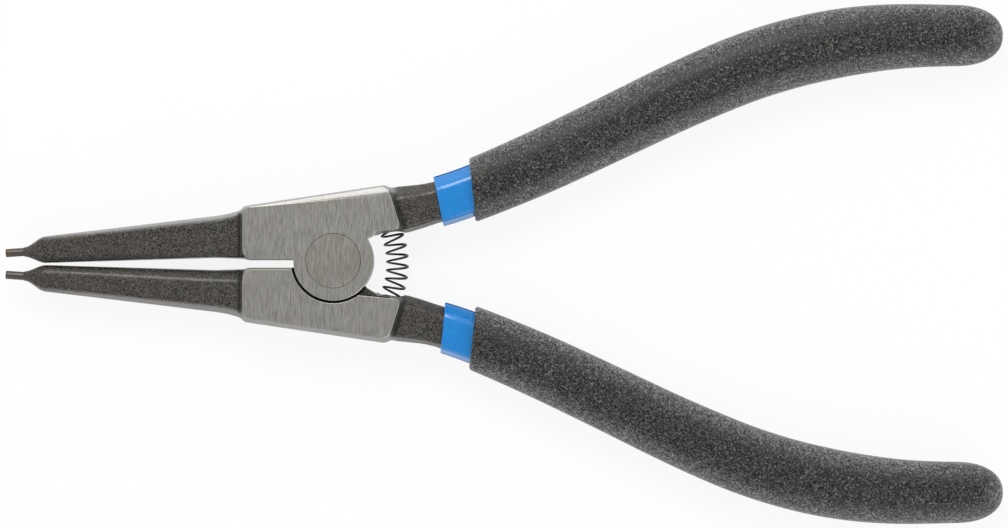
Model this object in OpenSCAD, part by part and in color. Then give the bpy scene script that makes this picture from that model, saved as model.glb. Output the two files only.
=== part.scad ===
// Straight external circlip pliers, 180 mm long, tips closed and handles open.
// X runs along the tool with the handles towards +X, Y across it, and Z up from the flat side of the joint.
// The origin is on the pivot axis, in the lower face of the joint.

/* [Joint] */
// Thickness of the joint, both laps together
joint_t = 8; // [6:0.5:10]
// Radius of the round lug that laps over the other half
lug_r = 7.2; // [6.8:0.1:8]
// Gap between the rim of a lug and the recess that it turns in
rim_gap = 0.5; // [0.2:0.05:0.7]
// How far the pivot stands off the tool's middle line, towards the upper half
pivot_offset = 0.6; // [0:0.1:0.8]
// Gap between the two lug faces that slide on each other
lap_gap = 0.1; // [0.05:0.05:0.2]
// Gap between the two joint blocks on the middle line
block_gap = 1.3; // [1:0.1:2]
// Length of the block in front of the pivot
block_front = 16.9; // [15:0.1:19]
// Length of the block behind the pivot
block_back = 12; // [11:0.1:13]
// Height of the block's outer edge over the middle line, at the front
block_front_y = 10.45; // [9.5:0.05:11.5]
// Height of the block's outer edge over the middle line, at the back
block_back_y = 14.5; // [13.5:0.1:15.5]
// Height of the land that holds the spring over the middle line
land_y = 5.1; // [4.6:0.1:5.6]
// Radius of the block's outer corners
block_corner_r = 1.2; // [0.6:0.1:1.6]

/* [Pivot rivet] */
// Radius of the rivet's shank
rivet_r = 3.3; // [2.5:0.1:4]
// Radius of the rivet's flush heads
rivet_head_r = 4.9; // [4.3:0.1:5.4]
// Depth of the heads' countersinks
rivet_head_depth = 1.6; // [1:0.1:2.4]
// Running gap between the rivet and the half that turns on it
rivet_gap = 0.04; // [0.02:0.01:0.08]

/* [Jaws and tips] */
// Distance from the pivot to the end of the tips
tip_x = 59.4; // [55:0.1:64]
// Diameter of each tip
tip_d = 1.5; // [1:0.1:2]
// Length of the turned tip in front of the nose
tip_len = 3.1; // [2.4:0.1:4]
// Distance of a tip's end from the middle line
tip_y = 1.95; // [1.5:0.05:2.4]
// Angle at which each tip leans towards the other
tip_lean = 4; // [0:0.5:8]
// Length of the nose, from the jaw's shoulder to the tip
nose_len = 4.2; // [3:0.1:6]
// Outer edge of the jaw over the middle line, at the nose
jaw_front_y = 5.1; // [4.5:0.1:6]
// Outer edge of the jaw over the middle line, where the flare starts
jaw_back_y = 8.8; // [8:0.1:9.5]
// Inner edge of the jaw over the middle line, at the nose
jaw_front_gap = 0.15; // [0.1:0.05:0.5]
// Inner edge of the jaw over the middle line, where the flare starts
jaw_back_gap = 1.05; // [0.8:0.05:1.3]
// Thickness of the jaw at the nose
jaw_front_t = 3.4; // [2.5:0.1:4.5]
// Thickness of the jaw where the flare starts
jaw_back_t = 5.8; // [5:0.1:7]
// Length of the flare from the jaw to the joint block
flare_len = 6; // [4:0.5:8]

/* [Handles] */
// Width of the shank where it leaves the joint block
shank_w = 8.6; // [8:0.1:9.5]
// Thickness of the shank where it leaves the joint block
shank_t = 6.6; // [5.5:0.1:7.5]
// Width of the tang inside the grip
tang_w = 7.5; // [6:0.1:8]
// Thickness of the tang inside the grip
tang_t = 5; // [4:0.1:6]
// Length of the shank from the joint block to the sleeve
shank_len = 7.6; // [5:0.1:10]
// Length of the sleeve that shows in front of the grip
collar_len = 6.5; // [4:0.1:9]
// Wall of the thin inner sleeve
sleeve_wall = 0.75; // [0.5:0.05:1.2]
// Length of the grip from its mouth to its end
grip_len = 101.4; // [90:0.5:112]
// Greatest width of the grip
grip_w = 12.5; // [11.5:0.1:14]
// Greatest thickness of the grip
grip_t = 10.4; // [9.5:0.1:12]
// Length of the grip's rounded end
grip_end_len = 8.5; // [5:0.5:11]
// Plastic between the end of the sleeve and the end of the grip
grip_end_wall = 5; // [3:0.5:8]
// Gap between one layer of a handle and the next
layer_gap = 0.04; // [0.02:0.01:0.08]

/* [Return spring] */
// Diameter of the wire
wire_d = 0.42; // [0.3:0.02:0.6]
// Outer diameter of the coil
spring_d = 4.2; // [3.6:0.1:4.6]
// Number of turns
spring_turns = 10; // [8:1:12]
// Distance from the pivot to the mouths of the spring's bores, along the tool
seat_x = 10.6; // [10:0.1:11.2]
// Depth of the spring's bores
seat_depth = 2.4; // [1.5:0.1:2.8]
// Gap between the coil and its bore
seat_gap = 0.2; // [0.1:0.05:0.3]
// Lean of the spring's bores
seat_lean = 20; // [10:1:25]

/* [Hidden] */
$fn = 96;

steel = "silver";
dark_steel = "dimgray";
sleeve_blue = "dodgerblue";
grip_black = "darkslategray";

// Overrun of every cut past the face that it leaves
cut_over = 1;

// The ground faces of the block stand inside its forged outline. Each row has the set-back's share at
// the front of the outer edge, at its back, at the two ends, on the middle line and on the spring's land.
ground_back = 1;
lug_side_shares = [0.1, 0.8, 0.6, 0.3, 0.7];
recess_side_shares = [0.4, 1.3, 0.4, 0.3, 0.9];
forged_shares = [0, 0, 0, 0, 0];
// Half the height of the forged band between the two drafts
band_half = 0.7;
// Smaller corner radii of the block
front_corner_r = 0.7;
land_corner_r = 0.9;
// How far the block's back end leans over from the land to the outer edge
back_inset = 1.4;
// Where the land starts, behind the pivot
land_x = 7.2;
// Rise of the land from its start to its end
land_rise = 0.5;
// Angle over the middle line at which the land meets the recess
notch_angle = 38;
// Points on each rounded corner
corner_steps = 4;

// Place of the tool's middle line, seen from the pivot
middle_y = -pivot_offset;
recess_r = lug_r + rim_gap;
half_t = joint_t / 2;
lap_z = lap_gap / 2;
seat_r = spring_d / 2 + seat_gap;

// Jaw section, from the inner edge at -1 to the outer edge at 1. The outer side has the wide draft.
jaw_section_shares = [[-1, -0.35], [-0.96, -0.78], [-0.86, -1], [0.6, -1], [0.86, -0.7], [1, -0.22],
    [1, 0.22], [0.86, 0.7], [0.6, 1], [-0.86, 1], [-0.96, 0.78], [-1, 0.35]];
// Stations along the straight of the jaw, and along the flare
jaw_straight_shares = [0, 0.35, 0.7];
jaw_flare_shares = [0, 0.25, 0.5, 0.75, 1];
// How far the end of the flare and the jaw's root stay inside the block
flare_sink = 0.2;
root_sink = 1.2;
// How far the flare and the root reach into the block
flare_reach = 1.5;
root_reach = 2.6;
// Width of the nose where the tip starts, against the tip
nose_end_share = 1.12;
nose_steps = 7;
tip_chamfer = 0.15;

jaw_x = tip_x - tip_len - nose_len;
flare_x = block_front - flare_reach + flare_len;
tip_root = [-tip_x + tip_len * cos(tip_lean), tip_y + tip_len * sin(tip_lean)];

// The middle line of a handle is a chain of arcs from the back of the joint block, where it
// starts this far inside the block's back end and outer edge
handle_inset = 0.5;
handle_drop = 4.83;
handle_start = [block_back - handle_inset, block_back_y - handle_drop];
handle_start_angle = 9;
// Length of each arc as a share of the grip, and its turn in degrees
handle_arc_shares = [0.182, 0.154, 0.152, 0.366, 0.146];
handle_turns = [4, 0.7, -3.2, -22, -2.8];
shank_turn = 12.3;
mouth_s = shank_len + collar_len;
handle_arcs = concat([[mouth_s, shank_turn]],
    [for (i = [0:len(handle_turns) - 1]) [grip_len * handle_arc_shares[i], handle_turns[i]]]);

// Width and thickness of the grip along it
grip_width_shares = [[0, 0.89], [0.12, 0.925], [0.23, 0.937], [0.35, 0.96], [0.47, 0.99], [0.58, 1], [0.7, 1],
    [0.8, 0.945], [0.88, 0.89], [1, 0.87]];
grip_thick_shares = [[0, 0.87], [0.15, 0.93], [0.4, 0.98], [0.6, 1], [0.75, 1], [0.9, 0.9], [1, 0.87]];
// Rounding of the sections, and of the grip's end seen from above: 2 is an ellipse, more is squarer
shank_round_ratio = 4;
tang_round_ratio = 3;
grip_round_ratio = 2.4;
grip_end_round_ratio = 2.25;
// Lean of the grip's mouth and of the sleeve's edge against the handle line
mouth_lean = 15;
collar_lean = 4;
mouth_fade = 8;
lip_len = 0.5;
lip_drop = 0.7;
// Length of the tang's rounded end
tang_end_len = 3;
// How far the shank reaches into the joint block, and its width there
shank_root = 3;
shank_root_share = 0.75;

tang_sides = 12;
handle_sides = 24;
grip_steps = 12;
end_steps = 4;

tang_end_s = mouth_s + grip_len - grip_end_wall - sleeve_wall - 2 * layer_gap - tang_end_len;
grip_end_s = mouth_s + grip_len - grip_end_len;

spring_sides = 6;
spring_steps = 16;
// Turns that lie closed at each end, and their pitch against the wire
closed_turns = 1.25;
closed_pitch_share = 1.1;
seat_mouth = [seat_x, land_y];
bow_r = seat_mouth[1] / sin(seat_lean);
bow_half = bow_r * seat_lean * PI / 180;
spring_half = bow_half + seat_depth - wire_d;

function mix(a, b, f) = a + (b - a) * f;

function bulge(v, n) = sign(v) * pow(abs(v), 2 / n);

// Faces of a closed skin over rings of n points, with a point at each end
function skin_faces(n, m) =
    let (last = n * m + 1)
    concat(
        [for (k = [0:n - 1]) [0, 1 + k, 1 + (k + 1) % n]],
        [for (i = [0:m - 2], k = [0:n - 1])
            let (a = 1 + i * n + k, b = 1 + i * n + (k + 1) % n)
            each [[a, a + n, b + n], [a, b + n, b]]],
        [for (k = [0:n - 1]) [last, last - n + (k + 1) % n, last - n + k]]);

function centre(ring) = [for (i = [0:2]) let (v = [for (p = ring) p[i]]) (min(v) + max(v)) / 2];

module skin(rings, middle = undef) {
    first = is_undef(middle) ? centre(rings[0]) : [middle[0], middle[1], rings[0][0][2]];
    end = rings[len(rings) - 1];
    last = is_undef(middle) ? centre(end) : [middle[0], middle[1], end[0][2]];
    polyhedron(concat([first], [for (r = rings) each r], [last]), skin_faces(len(rings[0]), len(rings)));
}

// Outline whose corners are given as [x, y, radius], each rounded by an arc
function rounded(corners) =
    let (n = len(corners))
    [for (i = [0:n - 1])
        let (
            p = [corners[i][0], corners[i][1]],
            a = [corners[(i + n - 1) % n][0], corners[(i + n - 1) % n][1]] - p,
            b = [corners[(i + 1) % n][0], corners[(i + 1) % n][1]] - p,
            ua = a / norm(a),
            ub = b / norm(b),
            half = acos(ua * ub) / 2,
            r = corners[i][2],
            mid = (ua + ub) / norm(ua + ub),
            middle = p + mid * r / sin(half),
            from = atan2(-mid[1], -mid[0]),
            side = ua[0] * ub[1] - ua[1] * ub[0] > 0 ? -1 : 1
        )
        each r == 0 ? [p] : [for (k = [0:corner_steps])
            let (t = from + side * (90 - half) * (2 * k / corner_steps - 1))
            middle + r * [cos(t), sin(t)]]];

// The block's outline, set back by the five distances of a ground face
function block_outline(back) = rounded([
    [-block_front + back[2], block_gap / 2 + back[3], front_corner_r],
    [0, block_gap / 2 + back[3], 0],
    [recess_r * cos(notch_angle), recess_r * sin(notch_angle), 0],
    [land_x, land_y + back[4], 0],
    [block_back + land_rise - back[2], land_y + land_rise + back[4], land_corner_r],
    [block_back - back_inset - back[2], block_back_y - back[1], block_corner_r],
    [-block_front + back[2], block_front_y - back[0], block_corner_r]]);

// Point and angle on the handle's line
function arc_step(p, a, s, turn) =
    let (chord = turn == 0 ? s : s * sin(turn / 2) / (turn / 2 * PI / 180))
    [p + chord * [cos(a + turn / 2), sin(a + turn / 2)], a + turn];

function along(s, i = 0, p = handle_start, a = handle_start_angle) =
    let (arc = handle_arcs[i])
    s <= arc[0] || i == len(handle_arcs) - 1
        ? arc_step(p, a, s, arc[1] * s / arc[0])
        : let (q = arc_step(p, a, arc[0], arc[1])) along(s - arc[0], i + 1, q[0], q[1]);

// Ring round the handle's line, leaning by skew
function ring(s, w, t, round, sides, skew = 0) =
    let (at = along(s), d = [cos(at[1]), sin(at[1])], n = [-d[1], d[0]])
    [for (k = [0:sides - 1])
        let (
            u = w / 2 * bulge(cos(360 * k / sides), round),
            z = t / 2 * bulge(sin(360 * k / sides), round),
            p = at[0] + u * n + u * skew * d
        )
        [p[0], p[1], z]];

// Stations that the tang, the sleeve and the inside of the grip share
handle_stations = [for (i = [0:grip_steps]) mix(mouth_s, tang_end_s, i / grip_steps)];
shank_stations = [for (i = [0:3]) mix(0, shank_len, i / 3)];
end_angles = [for (i = [1:end_steps]) 90 * i / (end_steps + 0.4)];

function shank_share(s) = let (f = max(0, min(1, s / shank_len))) f * f * (3 - 2 * f);

// Ring of the tang, or of a layer over it that stands out by grow
function tang_ring(s, grow = 0, sides = handle_sides, skew = 0) =
    let (f = shank_share(s))
    ring(s, mix(shank_w, tang_w, f) + 2 * grow, mix(shank_t, tang_t, f) + 2 * grow,
        mix(shank_round_ratio, tang_round_ratio, f), sides, skew);

// Rounded end of the tang, or of a layer over it
function tang_end(grow = 0, sides = handle_sides) = [for (a = end_angles)
    ring(tang_end_s + (tang_end_len + grow) * sin(a), (tang_w + 2 * grow) * cos(a),
        (tang_t + 2 * grow) * cos(a), tang_round_ratio, sides)];

function reversed(v) = [for (i = [len(v) - 1:-1:0]) v[i]];

function mouth_skew(s) = tan(mouth_lean) * max(0, 1 - (s - mouth_s) / mouth_fade);

// Outer edge of the block over the middle line, at x
function block_edge(x) =
    mix(block_front_y, block_back_y, (x + block_front) / (block_front + block_back - back_inset));

module jaw() {
    straight = [for (f = jaw_straight_shares)
        jaw_ring(-mix(jaw_x, flare_x, f), mix(jaw_front_gap, jaw_back_gap, f), mix(jaw_front_y, jaw_back_y, f),
            mix(jaw_front_t, jaw_back_t, f))];
    slope = (jaw_back_y - jaw_front_y) / (jaw_x - flare_x);
    end_x = -block_front + flare_reach;
    rise = block_edge(end_x) - flare_sink - jaw_back_y - slope * flare_len;
    flare = [for (f = jaw_flare_shares)
        jaw_ring(-flare_x + flare_len * f, mix(jaw_back_gap, block_gap / 2 + flare_sink, f),
            jaw_back_y + slope * flare_len * f + rise * f * f,
            mix(jaw_back_t, joint_t - 2 * flare_sink, f * f))];
    root = jaw_ring(-block_front + root_reach, block_gap / 2 + root_sink, block_edge(end_x) - root_sink,
        joint_t - 2 * root_sink);
    skin(concat(reversed(nose_rings()), straight, flare, [root]));
}

function jaw_ring(x, inner, outer, t) = [for (p = jaw_section_shares)
    [x, (inner + outer) / 2 + p[0] * (outer - inner) / 2, p[1] * t / 2]];

// The nose runs from the jaw's section to a round one in an even sweep
function nose_rings() =
    let (
        start = jaw_ring(-jaw_x, jaw_front_gap, jaw_front_y, jaw_front_t),
        r = tip_d / 2 * nose_end_share
    )
    [for (i = [1:nose_steps])
        let (f = i / nose_steps, w = (1 - cos(180 * f)) / 2)
        [for (k = [0:len(start) - 1])
            let (
                a = 360 * (k + 0.5) / len(start) - 180,
                out = r * cos(a),
                end = [tip_root[0] - out * sin(tip_lean), tip_root[1] + out * cos(tip_lean), r * sin(a)]
            )
            [mix(start[k][0], end[0], f), mix(start[k][1], end[1], w), mix(start[k][2], end[2], w)]]];

module tip() {
    translate([tip_root[0], tip_root[1], 0]) rotate([0, 0, tip_lean]) rotate([0, -90, 0]) {
        translate([0, 0, -tip_d]) cylinder(r = tip_d / 2, h = tip_len - tip_chamfer + tip_d);
        translate([0, 0, tip_len - tip_chamfer])
            cylinder(r1 = tip_d / 2, r2 = tip_d / 2 - tip_chamfer, h = tip_chamfer);
    }
}

module block() {
    levels = [[-half_t, recess_side_shares], [-band_half, forged_shares], [band_half, forged_shares],
        [half_t, lug_side_shares]];
    skin([for (level = levels) [for (p = block_outline(ground_back * level[1])) [p[0], p[1], level[0]]]],
        [0, recess_r - pivot_offset - block_gap]);
}

module shank() {
    root = ring(-shank_root, shank_w * shank_root_share, shank_t * shank_root_share, shank_round_ratio,
        tang_sides);
    skin(concat([root], [for (s = concat(shank_stations, handle_stations)) tang_ring(s, 0, tang_sides)],
        tang_end(0, tang_sides)));
}

// The rivet, or with an overrun the bore and countersinks for it
module rivet_form(grow = 0, over = 0) {
    rotate_extrude() polygon([
        [0, -half_t - over],
        [rivet_head_r + grow, -half_t - over],
        [rivet_head_r + grow, -half_t],
        [rivet_r + grow, -half_t + rivet_head_depth],
        [rivet_r + grow, half_t - rivet_head_depth],
        [rivet_head_r + grow, half_t],
        [rivet_head_r + grow, half_t + over],
        [0, half_t + over]]);
}

module seat_bore() {
    translate([seat_mouth[0], seat_mouth[1], 0]) rotate([0, 0, seat_lean]) rotate([-90, 0, 0])
        translate([0, 0, -spring_d]) cylinder(r = seat_r, h = spring_d + seat_depth);
}

// One forged half: jaw, tip, joint block with its lug, shank and tang. Its middle line is at y,
// and the pivot's axis at the origin.
module half(pivot_gap, y) {
    difference() {
        union() {
            translate([0, y, 0]) {
                block();
                jaw();
                tip();
                shank();
            }
            translate([0, 0, lap_z]) cylinder(r = lug_r, h = half_t - lap_z);
        }
        translate([0, 0, -half_t - cut_over]) cylinder(r = recess_r, h = half_t + lap_z + cut_over);
        rivet_form(pivot_gap, cut_over);
        translate([0, y, 0]) seat_bore();
    }
}

module inner_sleeve() {
    stations = concat([shank_len, shank_len + lip_len, mix(shank_len, mouth_s, 0.5)], handle_stations);
    grow = layer_gap + sleeve_wall;
    lean = tan(collar_lean);
    skin(concat(
        reversed(tang_end(layer_gap)),
        reversed([for (s = stations) tang_ring(s, layer_gap, handle_sides, lean)]),
        [tang_ring(shank_len, layer_gap + sleeve_wall / 2, handle_sides, lean)],
        [for (s = [for (i = [1:len(stations) - 1]) stations[i]]) tang_ring(s, grow, handle_sides, lean)],
        tang_end(grow)));
}

function grip_ring(s, drop = 0, shrink = 1) =
    let (f = (s - mouth_s) / grip_len)
    ring(s, grip_w * lookup(f, grip_width_shares) * shrink - 2 * drop,
        grip_t * lookup(f, grip_thick_shares) * shrink - 2 * drop, grip_round_ratio, handle_sides,
        mouth_skew(s));

module grip() {
    grow = 2 * layer_gap + sleeve_wall;
    outer = [for (i = [1:grip_steps + 2]) mix(mouth_s + lip_len, grip_end_s, i / (grip_steps + 2))];
    skin(concat(
        reversed(tang_end(grow)),
        reversed([for (s = handle_stations) tang_ring(s, grow)]),
        [grip_ring(mouth_s, lip_drop)],
        [for (s = concat([mouth_s + lip_len], outer)) grip_ring(s)],
        [for (a = end_angles)
            let (reach = bulge(sin(a), grip_end_round_ratio), shrink = bulge(cos(a), grip_end_round_ratio))
            grip_ring(grip_end_s + grip_end_len * reach, 0, shrink)]));
}

// Middle line of the spring: an arc between the two bores, and straight in them
function spring_line(l) =
    let (
        a = max(-seat_lean, min(seat_lean, l / bow_r * 180 / PI)),
        rest = l - a * PI / 180 * bow_r,
        middle = [seat_mouth[0] - bow_r * cos(seat_lean), 0]
    )
    [middle + bow_r * [cos(a), sin(a)] + rest * [-sin(a), cos(a)], a];

// Length along the spring after a number of turns, with closed turns at both ends
function spring_length(turn) =
    let (
        closed = closed_turns * wire_d * closed_pitch_share,
        open = (spring_half - closed) / (spring_turns / 2 - closed_turns),
        from_middle = turn - spring_turns / 2,
        part = abs(from_middle) - (spring_turns / 2 - closed_turns)
    )
    sign(from_middle) * (part <= 0
        ? abs(from_middle) * open
        : spring_half - closed + part * wire_d * closed_pitch_share);

function wire_ring(turn) =
    let (
        at = spring_line(spring_length(turn)),
        t = [-sin(at[1]), cos(at[1]), 0],
        n = [cos(at[1]), sin(at[1]), 0],
        out = cos(360 * turn) * n + [0, 0, sin(360 * turn)],
        p = [at[0][0], at[0][1], 0] + (spring_d - wire_d) / 2 * out
    )
    [for (k = [0:spring_sides - 1])
        p + wire_d / 2 * (cos(360 * k / spring_sides) * out + sin(360 * k / spring_sides) * t)];

// Lifts a piece to the middle of the joint's thickness. The lower half is turned over.
module upper(y = 0) {
    translate([0, y, half_t]) children();
}

module lower(y = 0) {
    translate([0, y, half_t]) rotate([180, 0, 0]) children();
}

module upper_half() {
    color(dark_steel) upper() half(rivet_gap, middle_y);
}

module lower_half() {
    color(dark_steel) lower() half(0, -middle_y);
}

module pivot_rivet() {
    color(steel) upper() rivet_form();
}

module return_spring() {
    color("black") upper(middle_y)
        skin([for (i = [0:spring_turns * spring_steps]) wire_ring(i / spring_steps)]);
}

module upper_inner_sleeve() {
    color(sleeve_blue) upper(middle_y) inner_sleeve();
}

module lower_inner_sleeve() {
    color(sleeve_blue) lower(middle_y) inner_sleeve();
}

module upper_grip() {
    color(grip_black) upper(middle_y) grip();
}

module lower_grip() {
    color(grip_black) lower(middle_y) grip();
}

upper_half();
lower_half();
pivot_rivet();
return_spring();
upper_inner_sleeve();
lower_inner_sleeve();
upper_grip();
lower_grip();
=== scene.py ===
import math

import bpy
from mathutils import Matrix, Vector


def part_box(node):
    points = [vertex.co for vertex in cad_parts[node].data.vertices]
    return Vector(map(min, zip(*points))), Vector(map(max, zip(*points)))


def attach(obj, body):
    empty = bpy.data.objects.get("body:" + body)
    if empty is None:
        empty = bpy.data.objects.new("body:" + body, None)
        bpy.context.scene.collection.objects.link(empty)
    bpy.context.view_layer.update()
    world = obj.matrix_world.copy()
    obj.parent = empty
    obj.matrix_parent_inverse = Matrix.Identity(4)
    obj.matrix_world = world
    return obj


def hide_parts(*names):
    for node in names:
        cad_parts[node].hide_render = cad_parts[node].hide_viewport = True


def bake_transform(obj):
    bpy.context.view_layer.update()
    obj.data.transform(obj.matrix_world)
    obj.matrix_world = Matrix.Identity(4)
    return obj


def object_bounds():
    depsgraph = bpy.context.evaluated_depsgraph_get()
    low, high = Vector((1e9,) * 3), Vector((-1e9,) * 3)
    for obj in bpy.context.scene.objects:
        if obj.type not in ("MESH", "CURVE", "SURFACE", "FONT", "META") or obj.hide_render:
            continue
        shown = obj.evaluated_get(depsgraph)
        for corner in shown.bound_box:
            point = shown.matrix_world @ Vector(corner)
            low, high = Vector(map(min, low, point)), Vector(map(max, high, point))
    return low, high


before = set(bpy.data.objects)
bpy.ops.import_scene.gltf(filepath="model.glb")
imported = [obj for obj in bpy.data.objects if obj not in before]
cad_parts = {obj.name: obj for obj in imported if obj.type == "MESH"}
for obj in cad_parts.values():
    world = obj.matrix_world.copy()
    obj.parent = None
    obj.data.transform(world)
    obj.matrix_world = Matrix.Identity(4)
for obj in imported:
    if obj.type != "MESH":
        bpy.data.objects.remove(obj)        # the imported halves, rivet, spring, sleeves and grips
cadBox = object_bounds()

mm = 0.001

# Where the frame has the joint: its mid-plane, its ground faces and the tool's middle line
rivetLow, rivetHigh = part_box("pivot_rivet")
midZ = (rivetLow.z + rivetHigh.z) / 2 / mm
halfT = (rivetHigh.z - rivetLow.z) / 2 / mm
middleY = (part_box("upper_grip")[1].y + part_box("lower_grip")[0].y) / 2 / mm


def metres(x, y, z):
    return (x * mm, y * mm, z * mm)


def clearPick():
    if bpy.context.object and bpy.context.object.mode == "EDIT":
        bpy.ops.object.mode_set(mode="OBJECT")
    bpy.ops.object.select_all(action="DESELECT")


def pickOnly(obj):
    clearPick()
    obj.select_set(True)
    bpy.context.view_layer.objects.active = obj


def bakePlace():
    bpy.ops.object.transform_apply(location=True, rotation=True, scale=True)


def edit():
    bpy.ops.object.mode_set(mode="EDIT")
    bpy.ops.mesh.select_all(action="DESELECT")


def done():
    bpy.ops.object.mode_set(mode="OBJECT")


def pickAll():
    bpy.ops.mesh.select_all(action="SELECT")


def pickNone(mode):
    bpy.ops.object.mode_set(mode="EDIT")
    bpy.ops.mesh.select_mode(type=mode)
    bpy.ops.mesh.select_all(action="DESELECT")
    done()


# Faces whose centre and normal pass the test
def pickFaces(obj, test):
    pickNone("FACE")
    for poly in obj.data.polygons:
        poly.select = bool(test(poly.center, poly.normal))
    bpy.ops.object.mode_set(mode="EDIT")


# Edges whose two ends pass the test
def pickEdges(obj, test):
    pickNone("EDGE")
    co = [v.co for v in obj.data.vertices]
    for e in obj.data.edges:
        e.select = bool(test(co[e.vertices[0]], co[e.vertices[1]]))
    bpy.ops.object.mode_set(mode="EDIT")


def joinAll(first, others):
    pickOnly(first)
    for o in others:
        o.select_set(True)
    bpy.ops.object.join()
    return first


def applyModifier(obj, name, kind, **settings):
    pickOnly(obj)
    m = obj.modifiers.new(name, kind)
    for key, value in settings.items():
        setattr(m, key, value)
    bpy.ops.object.modifier_apply(modifier=m.name)


def cut(obj, tool, operation="DIFFERENCE"):
    applyModifier(obj, "cut", "BOOLEAN", object=tool, operation=operation, solver="EXACT")
    bpy.data.objects.remove(tool)


# Cuts all that is selected by a plane. Points within the snap distance of it count as lying on it.
def trim(place, normal, drop=True, fill=False, snap=0.0001):
    bpy.ops.mesh.bisect(plane_co=place, plane_no=normal, clear_outer=drop, use_fill=fill, threshold=snap)


def fixNormals(obj):
    pickOnly(obj)
    bpy.ops.object.mode_set(mode="EDIT")
    pickAll()
    bpy.ops.mesh.remove_doubles(threshold=0.001)
    bpy.ops.mesh.normals_make_consistent(inside=False)
    done()


# The camera looks straight down on the tool, as in the photograph
camera = {
    "centre": (30.77, -0.6),   # middle of the picture, from the pivot
    "width": 182.45,           # width of the picture at the tool
    "lens": 180,
    "sensor": 36,
    "clip": (0.01, 10),
}


def setCamera():
    distance = camera["width"] * camera["lens"] / camera["sensor"]
    bpy.ops.object.camera_add(location=metres(*camera["centre"], midZ + distance), rotation=(0, 0, 0))
    cam = bpy.context.object
    cam.name = "camera"
    cam.data.lens = camera["lens"]
    cam.data.sensor_width = camera["sensor"]
    cam.data.sensor_fit = "HORIZONTAL"
    cam.data.clip_start, cam.data.clip_end = camera["clip"]
    bpy.context.scene.camera = cam
    print("camera set")


# Plain studio: a pale floor, a soft sky that is paler at the horizon, and two large soft lamps
studio = {
    "skyLow": (1.0, 1.0, 1.0), "skyHigh": (0.45, 0.45, 0.45), "skyStrength": 1.0,
    "horizon": 0.35, "zenith": 0.92,       # heights between which the sky darkens
    "middle": 0.03,                        # where the lamps point and the floor lies, along X
    "floor": 0.94, "floorWhite": 0.88, "floorSize": 1.6,
    "lamps": [((-0.05, 0.42, 0.50), 0.30, 1.9), ((0.30, -0.35, 0.25), 0.30, 0.5)],   # place, size, power
}


def nodeTree(owner):
    owner.use_nodes = True
    tree = owner.node_tree
    tree.nodes.clear()
    return tree


def addNode(tree, kind, **settings):
    node = tree.nodes.new(kind)
    for key, value in settings.items():
        if key in node.inputs:
            node.inputs[key].default_value = value
        else:
            setattr(node, key, value)
    return node


def setStudio():
    scene = bpy.context.scene
    scene.view_settings.view_transform = "Standard"
    world = bpy.data.worlds.new("studio")
    scene.world = world
    tree = nodeTree(world)
    link = tree.links.new
    out = addNode(tree, "ShaderNodeOutputWorld")
    place = addNode(tree, "ShaderNodeTexCoord")
    split = addNode(tree, "ShaderNodeSeparateXYZ")
    rise = addNode(tree, "ShaderNodeMapRange", interpolation_type="SMOOTHSTEP")
    rise.inputs["From Min"].default_value = studio["horizon"]
    rise.inputs["From Max"].default_value = studio["zenith"]
    tint = addNode(tree, "ShaderNodeMix", data_type="RGBA")
    tint.inputs["A"].default_value = (*studio["skyLow"], 1)
    tint.inputs["B"].default_value = (*studio["skyHigh"], 1)
    sky = addNode(tree, "ShaderNodeBackground", Strength=studio["skyStrength"])
    link(place.outputs["Generated"], split.inputs[0])
    link(split.outputs["Z"], rise.inputs["Value"])
    link(rise.outputs["Result"], tint.inputs["Factor"])
    link(tint.outputs["Result"], sky.inputs["Color"])
    link(sky.outputs[0], out.inputs[0])
    for spot, size, power in studio["lamps"]:
        bpy.ops.object.light_add(type="AREA", location=spot)
        lamp = bpy.context.object
        lamp.data.shape = "DISK"
        lamp.data.size = size
        lamp.data.energy = power
        aim = Vector((studio["middle"], 0, 0)) - lamp.location
        lamp.rotation_euler = aim.to_track_quat("-Z", "Y").to_euler()
    print("studio set")


# A matt white floor. The camera and the reflections see it partly as plain white, with a softer shadow.
def setFloor():
    clearPick()
    bpy.ops.mesh.primitive_plane_add(size=studio["floorSize"], location=(studio["middle"], 0, cadBox[0][2]))
    floor = bpy.context.object
    floor.name = "floor"
    paint = bpy.data.materials.new("paleFloor")
    tree = nodeTree(paint)
    link = tree.links.new
    out = addNode(tree, "ShaderNodeOutputMaterial")
    matt = addNode(tree, "ShaderNodeBsdfDiffuse", Color=(*(studio["floor"],) * 3, 1))
    white = addNode(tree, "ShaderNodeEmission", Strength=1.0)
    rays = addNode(tree, "ShaderNodeLightPath")
    seen = addNode(tree, "ShaderNodeMath", operation="MAXIMUM")
    through = addNode(tree, "ShaderNodeMath", operation="MAXIMUM")
    share = addNode(tree, "ShaderNodeMath", operation="MULTIPLY")
    share.inputs[1].default_value = studio["floorWhite"]
    pick = addNode(tree, "ShaderNodeMixShader")
    link(rays.outputs["Is Camera Ray"], seen.inputs[0])
    link(rays.outputs["Is Glossy Ray"], seen.inputs[1])
    link(seen.outputs[0], through.inputs[0])
    link(rays.outputs["Is Transmission Ray"], through.inputs[1])
    link(through.outputs[0], share.inputs[0])
    link(share.outputs[0], pick.inputs[0])
    link(matt.outputs[0], pick.inputs[1])
    link(white.outputs[0], pick.inputs[2])
    link(pick.outputs[0], out.inputs[0])
    floor.data.materials.append(paint)
    print("floor laid")


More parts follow.
